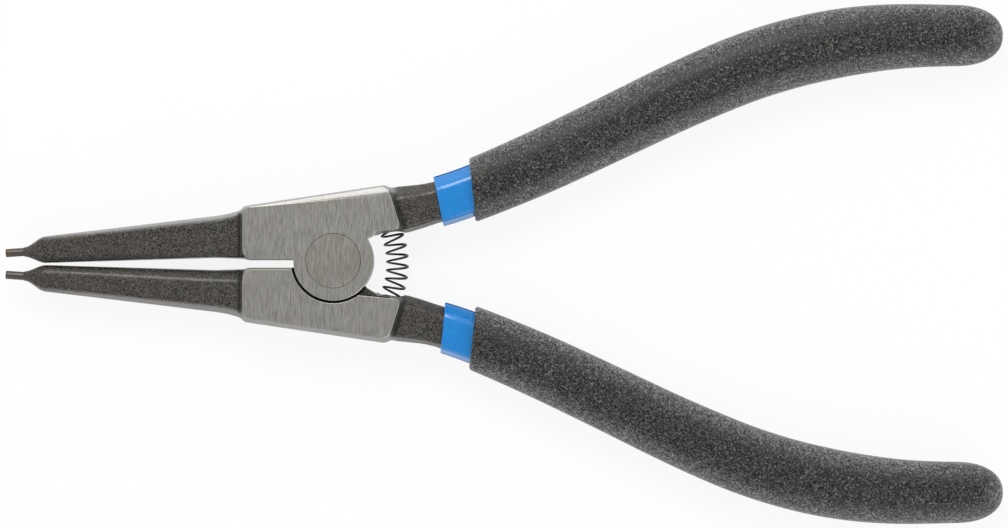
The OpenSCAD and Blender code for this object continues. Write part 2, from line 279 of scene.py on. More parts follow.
# Shared ways to make a piece: a section drawn across the X axis, swept along it and bent onto a line
# A square of half-width 1 mm across X. Each draft cuts off a corner along the line through two points.
def startSection(name, first, drafts, round, segments, cuts):
    clearPick()
    bpy.ops.mesh.primitive_plane_add(size=2, rotation=(0, math.radians(90), 0))
    obj = bpy.context.object
    obj.name = name
    bakePlace()
    edit()
    for (y0, z0), (y1, z1) in drafts:
        normal = Vector((0, z1 - z0, y0 - y1))
        if normal.dot(Vector((0, y0 + y1, z0 + z1))) < 0:
            normal.negate()
        pickAll()
        trim((0, y0, z0), normal)
    pickAll()
    bpy.ops.mesh.remove_doubles(threshold=0.02)      # corners that two drafts leave close together
    bpy.ops.mesh.bevel(affect="VERTICES", offset=round, segments=segments, profile=0.5)
    pickEdges(obj, lambda a, b: (a - b).length > 0.25)     # the flats, not the rounded corners
    bpy.ops.mesh.subdivide(number_cuts=cuts)
    bpy.ops.mesh.select_mode(type="VERT")
    pickAll()
    x, y, width, thick = first
    bpy.ops.transform.translate(value=(x, y, 0))
    bpy.ops.transform.resize(value=(1, width / 2, thick / 2), center_override=(x, y, 0))
    return obj


# Sizes the selected ring from one station's width and thickness to the next one's
def sizeSection(last, now):
    x, y, width, thick = now
    bpy.ops.transform.resize(value=(1, width / last[2], thick / last[3]), center_override=(x, y, 0))


# Extrudes the selected ring through stations of x, y, width and thickness
def sweep(stations):
    for last, now in zip(stations, stations[1:]):
        bpy.ops.mesh.extrude_region_move(
            TRANSFORM_OT_translate={"value": (now[0] - last[0], now[1] - last[1], 0)})
        sizeSection(last, now)


def mix(a, b, f):
    return a + (b - a) * f


# 0 below the low value, 1 above the high one
def ramp(value, low, high):
    return max(0, min(1, (value - low) / (high - low)))


# Straight steps between the rows of a table
def table(f, rows):
    for (x0, y0), (x1, y1) in zip(rows, rows[1:]):
        if f <= x1:
            return mix(y0, y1, max(0, f - x0) / (x1 - x0))
    return rows[-1][1]


# The table with its corners rounded off
def smoothTable(f, rows):
    reach = 0.05
    spots = [f + reach * (k - 3) / 3 for k in range(7)]
    return sum(table(min(max(s, rows[0][0]), rows[-1][0]), rows) for s in spots) / len(spots)


# The middle line of a handle, as arcs of a length and a turn from the back of the joint block
handle = {
    "start": (11.5, 9.67),
    "angle": 9,
    "arcs": [(14.1, 12.3), (18.455, 4), (15.616, 0.7), (15.413, -3.2), (37.112, -22), (14.804, -2.8)],
    "shank": 7.6,       # from the block to the sleeve
    "collar": 6.5,      # sleeve that shows in front of the grip
    "grip": 101.4,
    "gripEnd": 8.5,
    "tangEnd": 92.7,    # end of the tang, from the mouth of the grip
    "guideStep": 0.5, "guideSpare": 20,
}
mouthS = handle["shank"] + handle["collar"]
gripEndS = mouthS + handle["grip"]
tangEndS = mouthS + handle["tangEnd"]


# The handle's middle line as a guide curve
def handleLine():
    points = []
    x, y = handle["start"]
    angle = math.radians(handle["angle"])
    for length, turn in handle["arcs"]:
        count = round(length / handle["guideStep"])
        for _ in range(count):
            points.append((x, y))
            step = math.radians(turn) / count
            x += length / count * math.cos(angle + step / 2)
            y += length / count * math.sin(angle + step / 2)
            angle += step
    points.append((x, y))
    spare = handle["guideSpare"]
    points.append((x + spare * math.cos(angle), y + spare * math.sin(angle)))
    return guideCurve("handleLine", points)


def guideCurve(name, points):
    curve = bpy.data.curves.new(name, "CURVE")
    curve.dimensions = "3D"
    curve.twist_mode = "Z_UP"
    curve.use_deform_bounds = False
    spline = curve.splines.new("POLY")
    spline.points.add(len(points) - 1)
    for point, (x, y) in zip(spline.points, points):
        point.co = (*(x, y, 0), 1)
    guide = bpy.data.objects.new(name, curve)
    bpy.context.scene.collection.objects.link(guide)
    return guide


def bendOnto(obj, guide):
    applyModifier(obj, "bend", "CURVE", object=guide, deform_axis="POS_X")


# Pieces are modelled in millimetres, about a half's middle line and mid-plane, and placed in metres
def placeUpper(obj):
    obj.data.transform(Matrix.Scale(mm, 4) @ Matrix.Translation((0, middleY, midZ)))
    obj.data.update()


# The same, turned over for the lower half
def placeLower(obj):
    turn = Matrix.Rotation(math.pi, 4, "X")
    obj.data.transform(Matrix.Scale(mm, 4) @ Matrix.Translation((0, middleY, midZ)) @ turn)
    obj.data.update()


def copyPiece(obj, name):
    pickOnly(obj)
    bpy.ops.object.duplicate()
    twin = bpy.context.object
    twin.name = name
    return twin


# One forged half, first as a rough forging, then ground and bored
forging = {
    "front": -16.9, "back": 13.0, "middle": 0.65,
    "edgeFront": 10.45, "edgeBack": 14.5,   # outer edge of the block at its two ends
    "backTop": 10.2,                        # where the back end meets the outer edge
    "land": 5.1, "landRise": 0.5, "landX": 7.2,
    "lugDraft": (0.1, 0.8), "recessDraft": (0.4, 1.3),   # set-back of the ground faces, front and back
    "endDraft": 0.5, "landDraft": 0.8,
    "rough": 0.6, "rimStock": 0.15,   # stock over the ground faces and the lug's rim before machining
    "voxel": 0.25, "smooth": 9,
    "lug": 7.2, "recess": 7.7, "lap": 0.05,
    "ease": 0.1,             # chamfer of the ground faces' edges
    "pocket": (6, 3, 1.3),   # length, reach and depth of the step beside the recess
}
jaw = {
    "front": -52.1, "flare": -21.4, "back": -15.4,
    "innerFront": 0.15, "innerBack": 1.05, "outerFront": 5.1, "outerBack": 8.8,
    "thickFront": 3.4, "thickBack": 5.8,
    "rise": 0.95, "thickEnd": 7.2, "root": -13.0,
    # corners cut off the section: outer ones, inner ones, and a slope on the inner side of the recess face
    "drafts": [((1, 0), (0.82, 1)), ((1, 0), (0.7, -1)), ((-1, 0), (-0.92, 1)), ((-1, 0), (-0.9, -1)),
        ((-0.97, -0.5), (-0.5, -1))],
}
tip = {
    "end": -59.4, "y": 1.95, "lean": 4, "length": 3.1, "radius": 0.75, "chamfer": 0.15, "noseShare": 1.12,
    "sunk": 2.0, "noseSteps": 16, "noseRound": 0.35, "rings": 8,
}
shank = {
    "width": 8.6, "thick": 6.6, "root": -3, "tangWidth": 7.5, "tangThick": 5, "endRound": 3,
    # a broad slope on one side of each face and a steep wall on the other
    "drafts": [((1, 0.2), (0.55, 1)), ((-1, 0), (-0.8, 1)), ((-1, -0.2), (-0.55, -1)), ((1, 0), (0.78, -1))],
}


# Jaw and nose in one sweep, from inside the block to the root of the tip
def jawBlank():
    j = jaw
    slope = (j["outerBack"] - j["outerFront"]) / (j["flare"] - j["front"])
    stations = []

    def add(x, inner, outer, thick):
        stations.append((x, (inner + outer) / 2, outer - inner, thick))

    add(j["root"], 1.6, 10.0, j["thickEnd"] - 1.2)
    for k in range(7):
        f = 1 - k / 6
        x = mix(j["flare"], j["back"], f)
        outer = j["outerBack"] + slope * (x - j["flare"]) + j["rise"] * f * f
        add(x, mix(j["innerBack"], 0.85, f), outer, mix(j["thickBack"], j["thickEnd"], f * f))
    for k in range(1, 9):
        f = 1 - k / 8
        add(mix(j["front"], j["flare"], f), mix(j["innerFront"], j["innerBack"], f),
            mix(j["outerFront"], j["outerBack"], f), mix(j["thickFront"], j["thickBack"], f))
    obj = startSection("jawBlank", stations[0], j["drafts"], 0.14, 3, 5)
    sweep(stations)
    noseSweep(stations[-1])
    done()
    return obj


# The selected end is drawn down to a circle at the root of the tip
def noseSweep(last):
    lean = math.radians(tip["lean"])
    rootX = tip["end"] + tip["length"] * math.cos(lean)
    rootY = tip["y"] + tip["length"] * math.sin(lean)
    radius = tip["radius"] * tip["noseShare"]
    x0, y0, w0, t0 = last
    steps = tip["noseSteps"]
    for k in range(1, steps + 1):
        f = k / steps
        w = (1 - math.cos(math.pi * f)) / 2
        now = (mix(x0, rootX, f), mix(y0, rootY, w), mix(w0, 2 * radius, w), mix(t0, 2 * radius, w))
        bpy.ops.mesh.extrude_region_move(
            TRANSFORM_OT_translate={"value": (now[0] - last[0], now[1] - last[1], 0)})
        sizeSection(last, now)
        share = min(1, f * f * tip["noseRound"] + (f == 1))      # how far the ring is rounded by now
        bpy.ops.transform.tosphere(value=share, center_override=(now[0], now[1], 0))
        last = now


# The turned tip, a rod with a chamfered end
def tipPiece():
    lean = math.radians(tip["lean"])
    bpy.ops.mesh.primitive_cylinder_add(vertices=48, radius=tip["radius"],
        depth=(tip["length"] + tip["sunk"]), location=(-(tip["length"] - tip["sunk"]) / 2, 0, 0),
        rotation=(0, math.radians(90), 0))
    obj = bpy.context.object
    bakePlace()
    pickEdges(obj, lambda a, b: a.x < -tip["length"] + 0.01 and b.x < -tip["length"] + 0.01)
    bpy.ops.mesh.bevel(offset=tip["chamfer"], segments=2)
    for k in range(1, tip["rings"]):
        pickAll()
        trim((-tip["length"] * k / tip["rings"], 0, 0), (1, 0, 0), drop=False)
    done()
    rootX = tip["end"] + tip["length"] * math.cos(lean)
    rootY = tip["y"] + tip["length"] * math.sin(lean)
    obj.data.transform(Matrix.Translation((rootX, rootY, 0)) @ Matrix.Rotation(lean, 4, "Z"))
    return obj


# A cube over part of the joint block, from one x and y to another
def blockBlank(name, low, high):
    top = halfT + forging["rough"]
    clearPick()
    bpy.ops.mesh.primitive_cube_add(size=1,
        location=((low[0] + high[0]) / 2, (low[1] + high[1]) / 2, 0),
        scale=(high[0] - low[0], high[1] - low[1], 2 * top))
    obj = bpy.context.object
    obj.name = name
    bakePlace()
    edit()
    return obj


# Cuts the block along the line from a to b. What lies to its left stays. Each side of the parting line
# leans in by its set-back at the ground face, which is given at a and at b.
def draftCut(a, b, backLug, backRecess):
    for side, (backA, backB) in ((1, backLug), (-1, backRecess)):
        along = Vector((b[0] - a[0], b[1] - a[1], 0)).normalized()
        inward = Vector((-along.y, along.x, 0))
        p0 = Vector((a[0], a[1], 0))
        p1 = Vector((b[0], b[1], 0))
        p2 = p0 + inward * backA + Vector((0, 0, side * halfT))
        p3 = p1 + inward * backB + Vector((0, 0, side * halfT))
        middle = (p2 + p3) / 2
        normal = (p1 - p0).cross(middle - p0).normalized()
        if normal.dot(inward) > 0:
            normal = -normal
        pickAll()
        trim(p0, normal, fill=True)


# Rounds the corners that stand near the given places seen from above
def roundUprights(obj, spots, near=2.2):
    for x, y, radius in spots:
        pickEdges(obj, lambda a, b: abs(a.z - b.z) > 1 and all(
            math.hypot(p.x - x, p.y - y) < near for p in (a, b)))
        bpy.ops.mesh.bevel(offset=radius, segments=4, profile=0.5)


# The joint block, in a part before the pivot and a part behind it. Corners come with their radius.
def jointBlank():
    f = forging
    land = (f["landX"], f["land"])
    heel = (f["back"], f["land"] + f["landRise"])
    backTop = (f["backTop"], f["edgeBack"])
    frontTop = (f["front"], f["edgeFront"])
    outer = (backTop, frontTop, f["lugDraft"][::-1], f["recessDraft"][::-1])
    ends = ((f["endDraft"],) * 2,) * 2
    lands = ((f["landDraft"],) * 2,) * 2
    front = blockBlank("frontBlank", (f["front"] - 1, f["middle"]), (7.5, 16))
    draftCut(*outer)
    draftCut((f["front"], 12), (f["front"], 0), *ends)
    draftCut((f["front"], f["middle"]), (8, f["middle"]), (0.3, 0.3), (0.3, 0.3))
    draftCut((0, f["middle"]), land, (0, 0), (0, 0))
    roundUprights(front, [(*frontTop, 1.0), (f["front"], f["middle"], 1.6)])
    back = blockBlank("backBlank", (2, f["land"]), (f["back"] + 1, 16))
    draftCut(*outer)
    draftCut(heel, backTop, *ends)
    draftCut(land, heel, *lands)
    roundUprights(back, [(*backTop, 1.4), (*heel, 1.1)])
    done()
    return joinAll(front, [back])


# Width and thickness of the shank and tang at a place along the handle, with a coat added all round
def tangSize(s, coat=0):
    f = ramp(s, 0, handle["shank"])
    f = f * f * (3 - 2 * f)
    width = mix(shank["width"], shank["tangWidth"], f)
    thick = mix(shank["thick"], shank["tangThick"], f)
    return width + 2 * coat, thick + 2 * coat


# The shank, or the whole tang inside the handle, on the handle's line
def shankBlank(guide, tang):
    mouth = handle["shank"]
    turn = shank["endRound"]
    spots = [shank["root"], -1] + [mouth * k / 5 for k in range(6)] + [mouth + 2]
    if tang:
        spots = [mouth + 1 + k for k in range(5)]
        spots += [mix(spots[-1], tangEndS - turn, k / 24) for k in range(1, 25)]
    stations = [(s, 0, *tangSize(s)) for s in spots]
    if tang:
        for k in range(1, 6):
            a = math.radians(15 * k)
            stations.append((tangEndS - turn + turn * math.sin(a), 0,
                shank["tangWidth"] * math.cos(a), shank["tangThick"] * math.cos(a)))
    obj = startSection("shankBlank", stations[0], shank["drafts"], 0.16, 3, 3)
    sweep(stations)
    done()
    fixNormals(obj)
    bendOnto(obj, guide)
    return obj


def lugCylinder(radius, low, high, pivotY, vertices=160):
    clearPick()
    bpy.ops.mesh.primitive_cylinder_add(vertices=vertices, radius=radius, depth=(high - low),
        location=(0, pivotY, (low + high) / 2))
    bakePlace()
    return bpy.context.object


# The rough forging, with some of the lug so that its root is filleted
def forgingBlank(name, guide, pivotY):
    f = forging
    lug = lugCylinder(f["lug"] - f["rimStock"], f["lap"] + f["rimStock"], halfT + f["rough"], pivotY)
    obj = joinAll(jointBlank(), [jawBlank(), shankBlank(guide, False), lug])
    obj.name = name
    fixNormals(obj)
    applyModifier(obj, "forge", "REMESH", mode="VOXEL", voxel_size=f["voxel"])
    applyModifier(obj, "fillet", "SMOOTH", factor=0.5, iterations=f["smooth"])
    print(name, "forged:", len(obj.data.polygons), "faces")
    return obj


# The pivot lies off the middle line, so each half is bored at its own place
def forgedHalf(name, guide, pivotY, flank, rusty):
    f = forging
    obj = forgingBlank(name, guide, pivotY)
    cut(obj, lugCylinder(f["lug"], f["lap"], halfT + f["rough"], pivotY), "UNION")
    pickOnly(obj)
    for side in (1, -1):
        edit()
        pickAll()
        trim((0, 0, side * halfT), (0, 0, side), fill=True)
        done()
    cut(obj, lugCylinder(f["recess"], -halfT - 2, f["lap"], pivotY))
    cut(obj, stepPocket())
    cut(obj, rivetBore(pivotY))
    cut(obj, seatBore())
    cut(obj, tipPiece(), "UNION")
    cut(obj, shankBlank(guide, True), "UNION")
    easeGroundEdges(obj, pivotY)
    cutBand(obj)
    dress(obj, ["forgedSteel", "groundSteel", "turnedSteel"])
    markFinishes(obj, pivotY)
    markWearAndShade(obj, flank, rusty)
    shadeSmooth(obj, 32)
    for poly in obj.data.polygons:
        if isGround(poly.center, poly.normal):
            poly.use_smooth = False
    print(name, "ground, bored and tipped:", len(obj.data.polygons), "faces")
    return obj


rivet = {
    "bore": 3.34, "head": 4.98, "depth": 1.6,
    "seatX": 10.6, "seatRadius": 2.3, "seatDepth": 2.4, "seatLean": 20,
}


# Cutter for the rivet's bore and its two countersinks
def rivetBore(pivotY):
    r = rivet
    low, high = halfT - r["depth"], halfT + 1
    wide = r["head"] + (r["head"] - r["bore"]) / r["depth"]
    obj = lugCylinder(r["bore"], -halfT - 2, halfT + 2, pivotY, 96)
    for side in (1, -1):
        clearPick()
        bpy.ops.mesh.primitive_cone_add(vertices=96, radius1=r["bore"], radius2=wide,
            depth=(high - low), location=(0, pivotY, side * (low + high) / 2),
            rotation=(0 if side > 0 else math.pi, 0, 0))
        cone = bpy.context.object
        bakePlace()
        cut(obj, cone, "UNION")
    return obj


# Cutter for the blind bore that holds the spring's end
def seatBore():
    r = rivet
    clearPick()
    bpy.ops.mesh.primitive_cylinder_add(vertices=64, radius=r["seatRadius"], depth=2 * r["seatDepth"],
        rotation=(math.radians(90), 0, math.radians(r["seatLean"])),
        location=(r["seatX"], forging["land"], 0))
    bakePlace()
    return bpy.context.object


# Cutter for the step beside the recess, which stays as forged
def stepPocket():
    f = forging
    along = Vector((f["back"] - f["landX"], f["landRise"], 0)).normalized()
    across = Vector((-along.y, along.x, 0))
    length, reach, depth = f["pocket"]
    edge = Vector((f["landX"], f["land"] + f["landDraft"], -halfT))
    clearPick()
    bpy.ops.mesh.primitive_cube_add(size=1)
    box = bpy.context.object
    turn = Matrix((along, across, (0, 0, 1))).transposed().to_4x4()
    box.data.transform(
        Matrix.Translation(edge - across * reach / 2) @ turn @ Matrix.Diagonal((length, reach, 2 * depth, 1)))
    return box


def isGround(centre, normal):
    return abs(normal.z) > 0.999 and abs(abs(centre.z) - halfT) < 0.01


# A band along the outer edge of the lug face that the polishing belt has rolled over
band = {
    "front": (-16.9, 10.3), "back": (10.6, 13.65),   # its outer edge
    "widthFront": 0.35, "widthBack": 1.4, "dropFront": 0.08, "dropBack": 0.24, "strips": 6,
    "cutSpare": 3, "cutReach": 4, "cutHeight": 1.5,  # size of the cutters past the face
}


# How far across the band a place lies: 0 at its inner edge, 1 at the outer one
def acrossBand(x, y):
    (x0, y0), (x1, y1) = band["front"], band["back"]
    f = (x - x0) / (x1 - x0)
    width = mix(band["widthFront"], band["widthBack"], max(0, min(1, f)))
    return 1 - (mix(y0, y1, f) - y) / width


def isBand(centre, normal):
    low, high = halfT - 2 * band["dropBack"], halfT - 0.0008
    return normal.z > 0.9 and low < centre.z < high and acrossBand(centre.x, centre.y) > 0


# Rolls the edge over by a few flat cuts, each steeper than the one before
def cutBand(obj):
    ends = []
    strips = band["strips"]
    for (x, y), width, drop in ((band["front"], band["widthFront"], band["dropFront"]),
            (band["back"], band["widthBack"], band["dropBack"])):
        ends.append([Vector((x, y - width * (1 - k / strips), halfT - drop * (k / strips) ** 2))
            for k in range(strips + 1)])
    for k in range(strips):
        a, b, c = ends[0][k], ends[1][k], ends[1][k + 1]
        along = (b - a).normalized()
        up = along.cross(c - a).normalized()
        if up.z < 0:
            up.negate()
        out = up.cross(along)
        clearPick()
        bpy.ops.mesh.primitive_cube_add(size=1, location=(0, 0, 0))
        box = bpy.context.object
        length, reach, height = (b - a).length + band["cutSpare"], band["cutReach"], band["cutHeight"]
        middle = (a + b) / 2 - out * (reach / 2) * (1 if out.y < 0 else -1) + up * height / 2
        turn = Matrix((along, out, up)).transposed().to_4x4()
        box.data.transform(Matrix.Translation(middle) @ turn @ Matrix.Diagonal((length, reach, height, 1)))
        cut(obj, box)


# A narrow worn chamfer round the ground faces, but not round the rivet
def easeGroundEdges(obj, pivotY):
    pickFaces(obj, isGround)
    bpy.ops.mesh.inset(thickness=forging["ease"], depth=0, use_boundary=True, use_even_offset=False)
    done()
    inner = set()
    for poly in obj.data.polygons:
        if poly.select:
            inner.update(poly.vertices)
    for v in obj.data.vertices:
        spread = math.hypot(v.co.x, v.co.y - pivotY)
        if v.index not in inner and abs(abs(v.co.z) - halfT) < 0.001 and spread > rivet["head"] + 0.2:
            v.co.z -= math.copysign(forging["ease"] * 0.6, v.co.z)


# Slot 0 is forged, 1 ground, 2 the turned tip
def markFinishes(obj, pivotY):
    for poly in obj.data.polygons:
        c = poly.center
        n = poly.normal
        spread = math.hypot(c.x, c.y - pivotY)
        if isBand(c, n) or isGround(c, n):
            poly.material_index = 1
        elif abs(c.z) > halfT - 0.1 and abs(n.z) > 0.3 and spread > rivet["head"] + 0.3:
            poly.material_index = 1
        elif c.x < tip["end"] + tip["length"] - 0.02:
            poly.material_index = 2


# Where the forging is lighter on its outer side, partly rubbed and partly a painted reflection of the bright
# floor, and rubbed on the band;
# where painted shade darkens grooves and the jaw's inner edge; where the tip is rusty. A half has its own
# share of the lighter side and of the rust.
wearAndShade = {
    "flankFront": -56, "flankFull": -44, "flankBack": 10.6, "flankFade": 1, "turnFrom": 0.4, "turnTo": 0.72,
    "hollowFront": 0.45, "hollowBack": 0.8,   # reach of the painted shade in the grooves at the ends of the ground faces
    "frontAt": -0.1, "backAt": 0.2,           # its middle, from those ends
    "hollowGain": 1.4, "hollowFloor": 2.4, "hollowFade": 0.5,
    "innerLug": 1.5, "innerRecess": 0.5,     # and of the painted shade along the jaw's inner edge on its two faces
    "innerFront": -40, "innerEnd": -20,
    "rustEnd": -58.3, "rustFade": 0.5,
}


def markWearAndShade(obj, flank, rusty):
    w = wearAndShade
    f = forging
    rubAndSheen = obj.data.attributes.new("rubAndSheen", "FLOAT", "POINT")
    # The scale attribute holds painted shade: a near-black colour in grooves and along the jaw's inner edge
    scale = obj.data.attributes.new("scale", "FLOAT", "POINT")
    rust = obj.data.attributes.new("rust", "FLOAT", "POINT")
    normals = [v.normal.copy() for v in obj.data.vertices]
    for v, n in zip(obj.data.vertices, normals):
        x, y, z = v.co
        # Painted reflection, partly real rubbing: the outward-facing flank gets a lighter colour
        shine = ramp(x, w["flankFront"], w["flankFull"])
        shine *= ramp(w["flankBack"] + w["flankFade"] - x, 0, w["flankFade"])
        shine *= ramp(n.y, w["turnFrom"], w["turnTo"]) * flank
        if z > halfT - 2 * band["dropBack"]:
            shine = max(0, min(1, acrossBand(x, y)))
        rubAndSheen.data[v.index].value = shine
        rust.data[v.index].value = rusty * ramp(w["rustEnd"] - x, 0, w["rustFade"])
        # Painted shade in the grooves at the front and back ends of the ground faces
        backX = f["back"] - (y - f["land"]) * (f["back"] - f["backTop"]) / (f["edgeBack"] - f["land"])
        front = ramp(w["hollowFront"] - abs(x - f["front"] - w["frontAt"]), 0, w["hollowFront"])
        back = ramp(w["hollowBack"] - abs(x - backX - w["backAt"]), 0, w["hollowBack"])
        grooveShade = min(1, w["hollowGain"] * max(front, back))
        grooveShade *= ramp(abs(z), w["hollowFloor"] - w["hollowFade"], w["hollowFloor"])
        # Painted shade along the jaw's inner edge, where the other jaw shades it
        reach = w["innerLug"] if z > 0 else w["innerRecess"]
        inner = mix(jaw["innerFront"], jaw["innerBack"], ramp(x, jaw["front"], jaw["flare"]))
        edge = ramp(reach - (y - inner), 0, reach) * ramp(-x, -w["innerEnd"], -w["innerFront"])
        scale.data[v.index].value = max(grooveShade, edge * ramp(x, tip["end"], jaw["front"]))


# Spring: open coils between the bores, closed coils at the ends, bowed towards the handles
spring = {
    "wire": 0.42, "outer": 4.2, "turns": 10, "closed": 1.25, "closedPitch": 0.46,
    "lean": 20, "sides": 12, "steps": 32, "guideSteps": 40, "guideSpare": 6,
}


# Some turns of the wire along Z
def coil(turns, pitch, startTurn, start):
    r = (spring["outer"] - spring["wire"]) / 2
    clearPick()
    bpy.ops.mesh.primitive_circle_add(vertices=spring["sides"], radius=spring["wire"] / 2,
        rotation=(math.radians(90), 0, 0), location=(r, 0, 0))
    obj = bpy.context.object
    bakePlace()
    applyModifier(obj, "wind", "SCREW", angle=2 * math.pi * turns, screw_offset=turns * pitch,
        steps=round(turns * spring["steps"]), render_steps=round(turns * spring["steps"]), axis="Z",
        use_smooth_shade=True, use_merge_vertices=False)
    turn = Matrix.Rotation(2 * math.pi * startTurn, 4, "Z")
    obj.data.transform(Matrix.Translation((0, 0, start)) @ turn)
    return obj


# The spring's own line, an arc of the given radius with a straight piece at each end
def springLine(bow, lean):
    steps, spare = spring["guideSteps"], spring["guideSpare"]
    centre = rivet["seatX"] - bow * math.cos(lean)
    points = []
    for k in range(-steps, steps + 1):
        a = lean * k / steps
        points.append((centre + bow * math.cos(a), bow * math.sin(a)))
    away = (-math.sin(lean) * spare, math.cos(lean) * spare)
    points.insert(0, (points[0][0] + away[0], points[0][1] - away[1]))
    points.append((points[-1][0] + away[0], points[-1][1] + away[1]))
    return guideCurve("springLine", points)


def returnSpring():
    p = spring
    lean = math.radians(p["lean"])
    bow = forging["land"] / math.sin(lean)
    half = bow * lean + rivet["seatDepth"] - p["wire"]
    closedLength = p["closed"] * p["closedPitch"]
    openTurns = p["turns"] - 2 * p["closed"]
    parts = [
        coil(p["closed"], p["closedPitch"], 0, -half),
        coil(openTurns, 2 * (half - closedLength) / openTurns, p["closed"], closedLength - half),
        coil(p["closed"], p["closedPitch"], p["closed"] + openTurns, half - closedLength),
    ]
    obj = joinAll(parts[0], parts[1:])
    obj.name = "springCoil"
    obj.data.transform(Matrix.Rotation(math.radians(90), 4, "Y"))
    pickOnly(obj)
    edit()
    pickAll()
    bpy.ops.mesh.remove_doubles(threshold=0.01)
    bpy.ops.mesh.select_all(action="DESELECT")
    bpy.ops.mesh.select_mode(type="VERT")
    bpy.ops.mesh.select_non_manifold()
    bpy.ops.mesh.fill()
    done()
    fixNormals(obj)
    obj.data.transform(Matrix.Translation((p["guideSpare"] + bow * lean, 0, 0)))
    line = springLine(bow, lean)
    bendOnto(obj, line)
    bpy.data.objects.remove(line)
    dress(obj, ["springBlack"])
    shadeSmooth(obj, 40)
    return obj


def shadeSmooth(obj, degrees):
    pickOnly(obj)
    bpy.ops.object.shade_smooth_by_angle(angle=math.radians(degrees))


# Thin blue sleeve and thick black grip: an outer skin and an inner one, joined round the mouth
sleeve = {
    "wall": 0.75, "gap": 0.04, "lip": 0.26, "rows": 60,
    "upper": (0, 4), "lower": (0.85, 11),        # how far the mouth is drawn back and how much it leans
    "section": (shank["drafts"], 0.2, 5, 4),     # drafts, corner, its steps and the cuts of the flats
}
grip = {
    "width": 12.5, "thick": 10.4, "wall": 5, "lean": 15, "lip": 0.55, "rows": 90,
    "section": ([], 0.86, 10, 2),
    "widths": [(0, .89), (.12, .925), (.23, .937), (.35, .96), (.47, .99), (.58, 1), (.7, 1), (.8, .945),
        (.88, .89), (1, .87)],
    "thicks": [(0, .87), (.15, .93), (.4, .98), (.6, 1), (.75, 1), (.9, .9), (1, .87)],
    "endPower": 2.25,
}
mouths = {
    "lipSteps": 5, "leanReach": 8,     # how far from a mouth its lean fades out
    "endSteps": (8, 14),               # rings round the closed end of a sleeve and of a grip
}


# Stations of a skin round the tang, over a coat of the given thickness
def tangStations(first, coat, rows):
    end = tangEndS - shank["endRound"]
    stations = [(s, 0, *tangSize(s, coat)) for s in [mix(first, end, k / rows) for k in range(rows + 1)]]
    width, thick = tangSize(end, coat)
    steps = mouths["endSteps"][0]
    for k in range(1, steps + 1):
        a = math.radians(88 * k / steps)
        reach = (shank["endRound"] + coat) * math.sin(a)
        stations.append((end + reach, 0, width * math.cos(a), thick * math.cos(a)))
    return stations


def gripStations(first, rows):
    g = grip
    length = handle["grip"]
    end = gripEndS - handle["gripEnd"]
    stations = []

    def size(s):
        f = max(0, (s - mouthS) / length)
        return g["width"] * smoothTable(f, g["widths"]), g["thick"] * smoothTable(f, g["thicks"])

    for k in range(rows + 1):
        s = mix(first, end, k / rows)
        stations.append((s, 0, *size(s)))
    steps = mouths["endSteps"][1]
    for k in range(1, steps + 1):
        a = math.radians(89 * k / steps)
        s = end + handle["gripEnd"] * math.sin(a) ** (2 / g["endPower"])
        shrink = math.cos(a) ** (2 / g["endPower"])
        width, thick = size(s)
        stations.append((s, 0, width * shrink, thick * shrink))
    return stations


# Stations of a rounded edge in front of the given ones. The edge turns inwards, or outwards for a bore.
def lipStations(stations, radius, inwards):
    x, y, width, thick = stations[0]
    rows = []
    steps = mouths["lipSteps"]
    for k in range(steps):
        a = math.radians(90) * k / steps
        turn = 2 * radius * (1 - math.sin(a)) * inwards
        rows.append((x - radius * math.cos(a), y, width - turn, thick - turn))
    return rows + stations


# An open skin through the stations. Its mouth leans, so the rings near it slide by their place across.
def skin(name, stations, section, lean):
    obj = startSection(name, stations[0], *section)
    bpy.ops.mesh.delete(type="ONLY_FACE")
    bpy.ops.mesh.select_mode(type="VERT")
    bpy.ops.mesh.select_all(action="SELECT")
    sweep(stations)
    bpy.ops.mesh.edge_face_add()
    done()
    markSides(obj, stations)
    slope = math.tan(math.radians(lean))
    for v in obj.data.vertices:
        v.co.x += v.co.y * slope * max(0, 1 - (v.co.x - stations[0][0]) / mouths["leanReach"])
    return obj


# How far each point of a skin lies towards its two sides and its end, from 0 at the middle to 1. On the grip
# it places a painted sheen.
def markSides(obj, stations):
    rubAndSheen = obj.data.attributes.new("rubAndSheen", "FLOAT", "POINT")
    rings = len(stations)
    size = len(obj.data.vertices) // rings
    end = stations[-1][0]
    widest = max(s[2] for s in stations) / 2
    for v in obj.data.vertices:
        width = stations[min(v.index // size, rings - 1)][2] / 2
        across = abs(v.co.y) / max(width, 0.1)
        tail = ramp(v.co.x, end - widest, end)
        rubAndSheen.data[v.index].value = max(ramp(across, 0.45, 1), tail ** 2)


# Joins two skins round their mouths
def cup(name, outer, inner):
    obj = joinAll(outer, [inner])
    obj.name = name
    edit()
    bpy.ops.mesh.select_mode(type="EDGE")
    bpy.ops.mesh.select_non_manifold()
    bpy.ops.mesh.bridge_edge_loops()
    done()
    fixNormals(obj)
    return obj


def innerSleeve(name, guide, back, lean):
    p = sleeve
    mouth = handle["shank"] + back + p["lip"]
    outer = lipStations(tangStations(mouth, p["wall"] + p["gap"], p["rows"]), p["lip"], 1)
    inner = lipStations(tangStations(mouth, p["gap"], p["rows"]), p["lip"], -1)
    obj = cup(name, skin("sleeveSkin", outer, p["section"], lean),
        skin("sleeveBore", inner, p["section"], lean))
    bendOnto(obj, guide)
    dress(obj, ["bluePlastic"])
    shadeSmooth(obj, 40)
    return obj


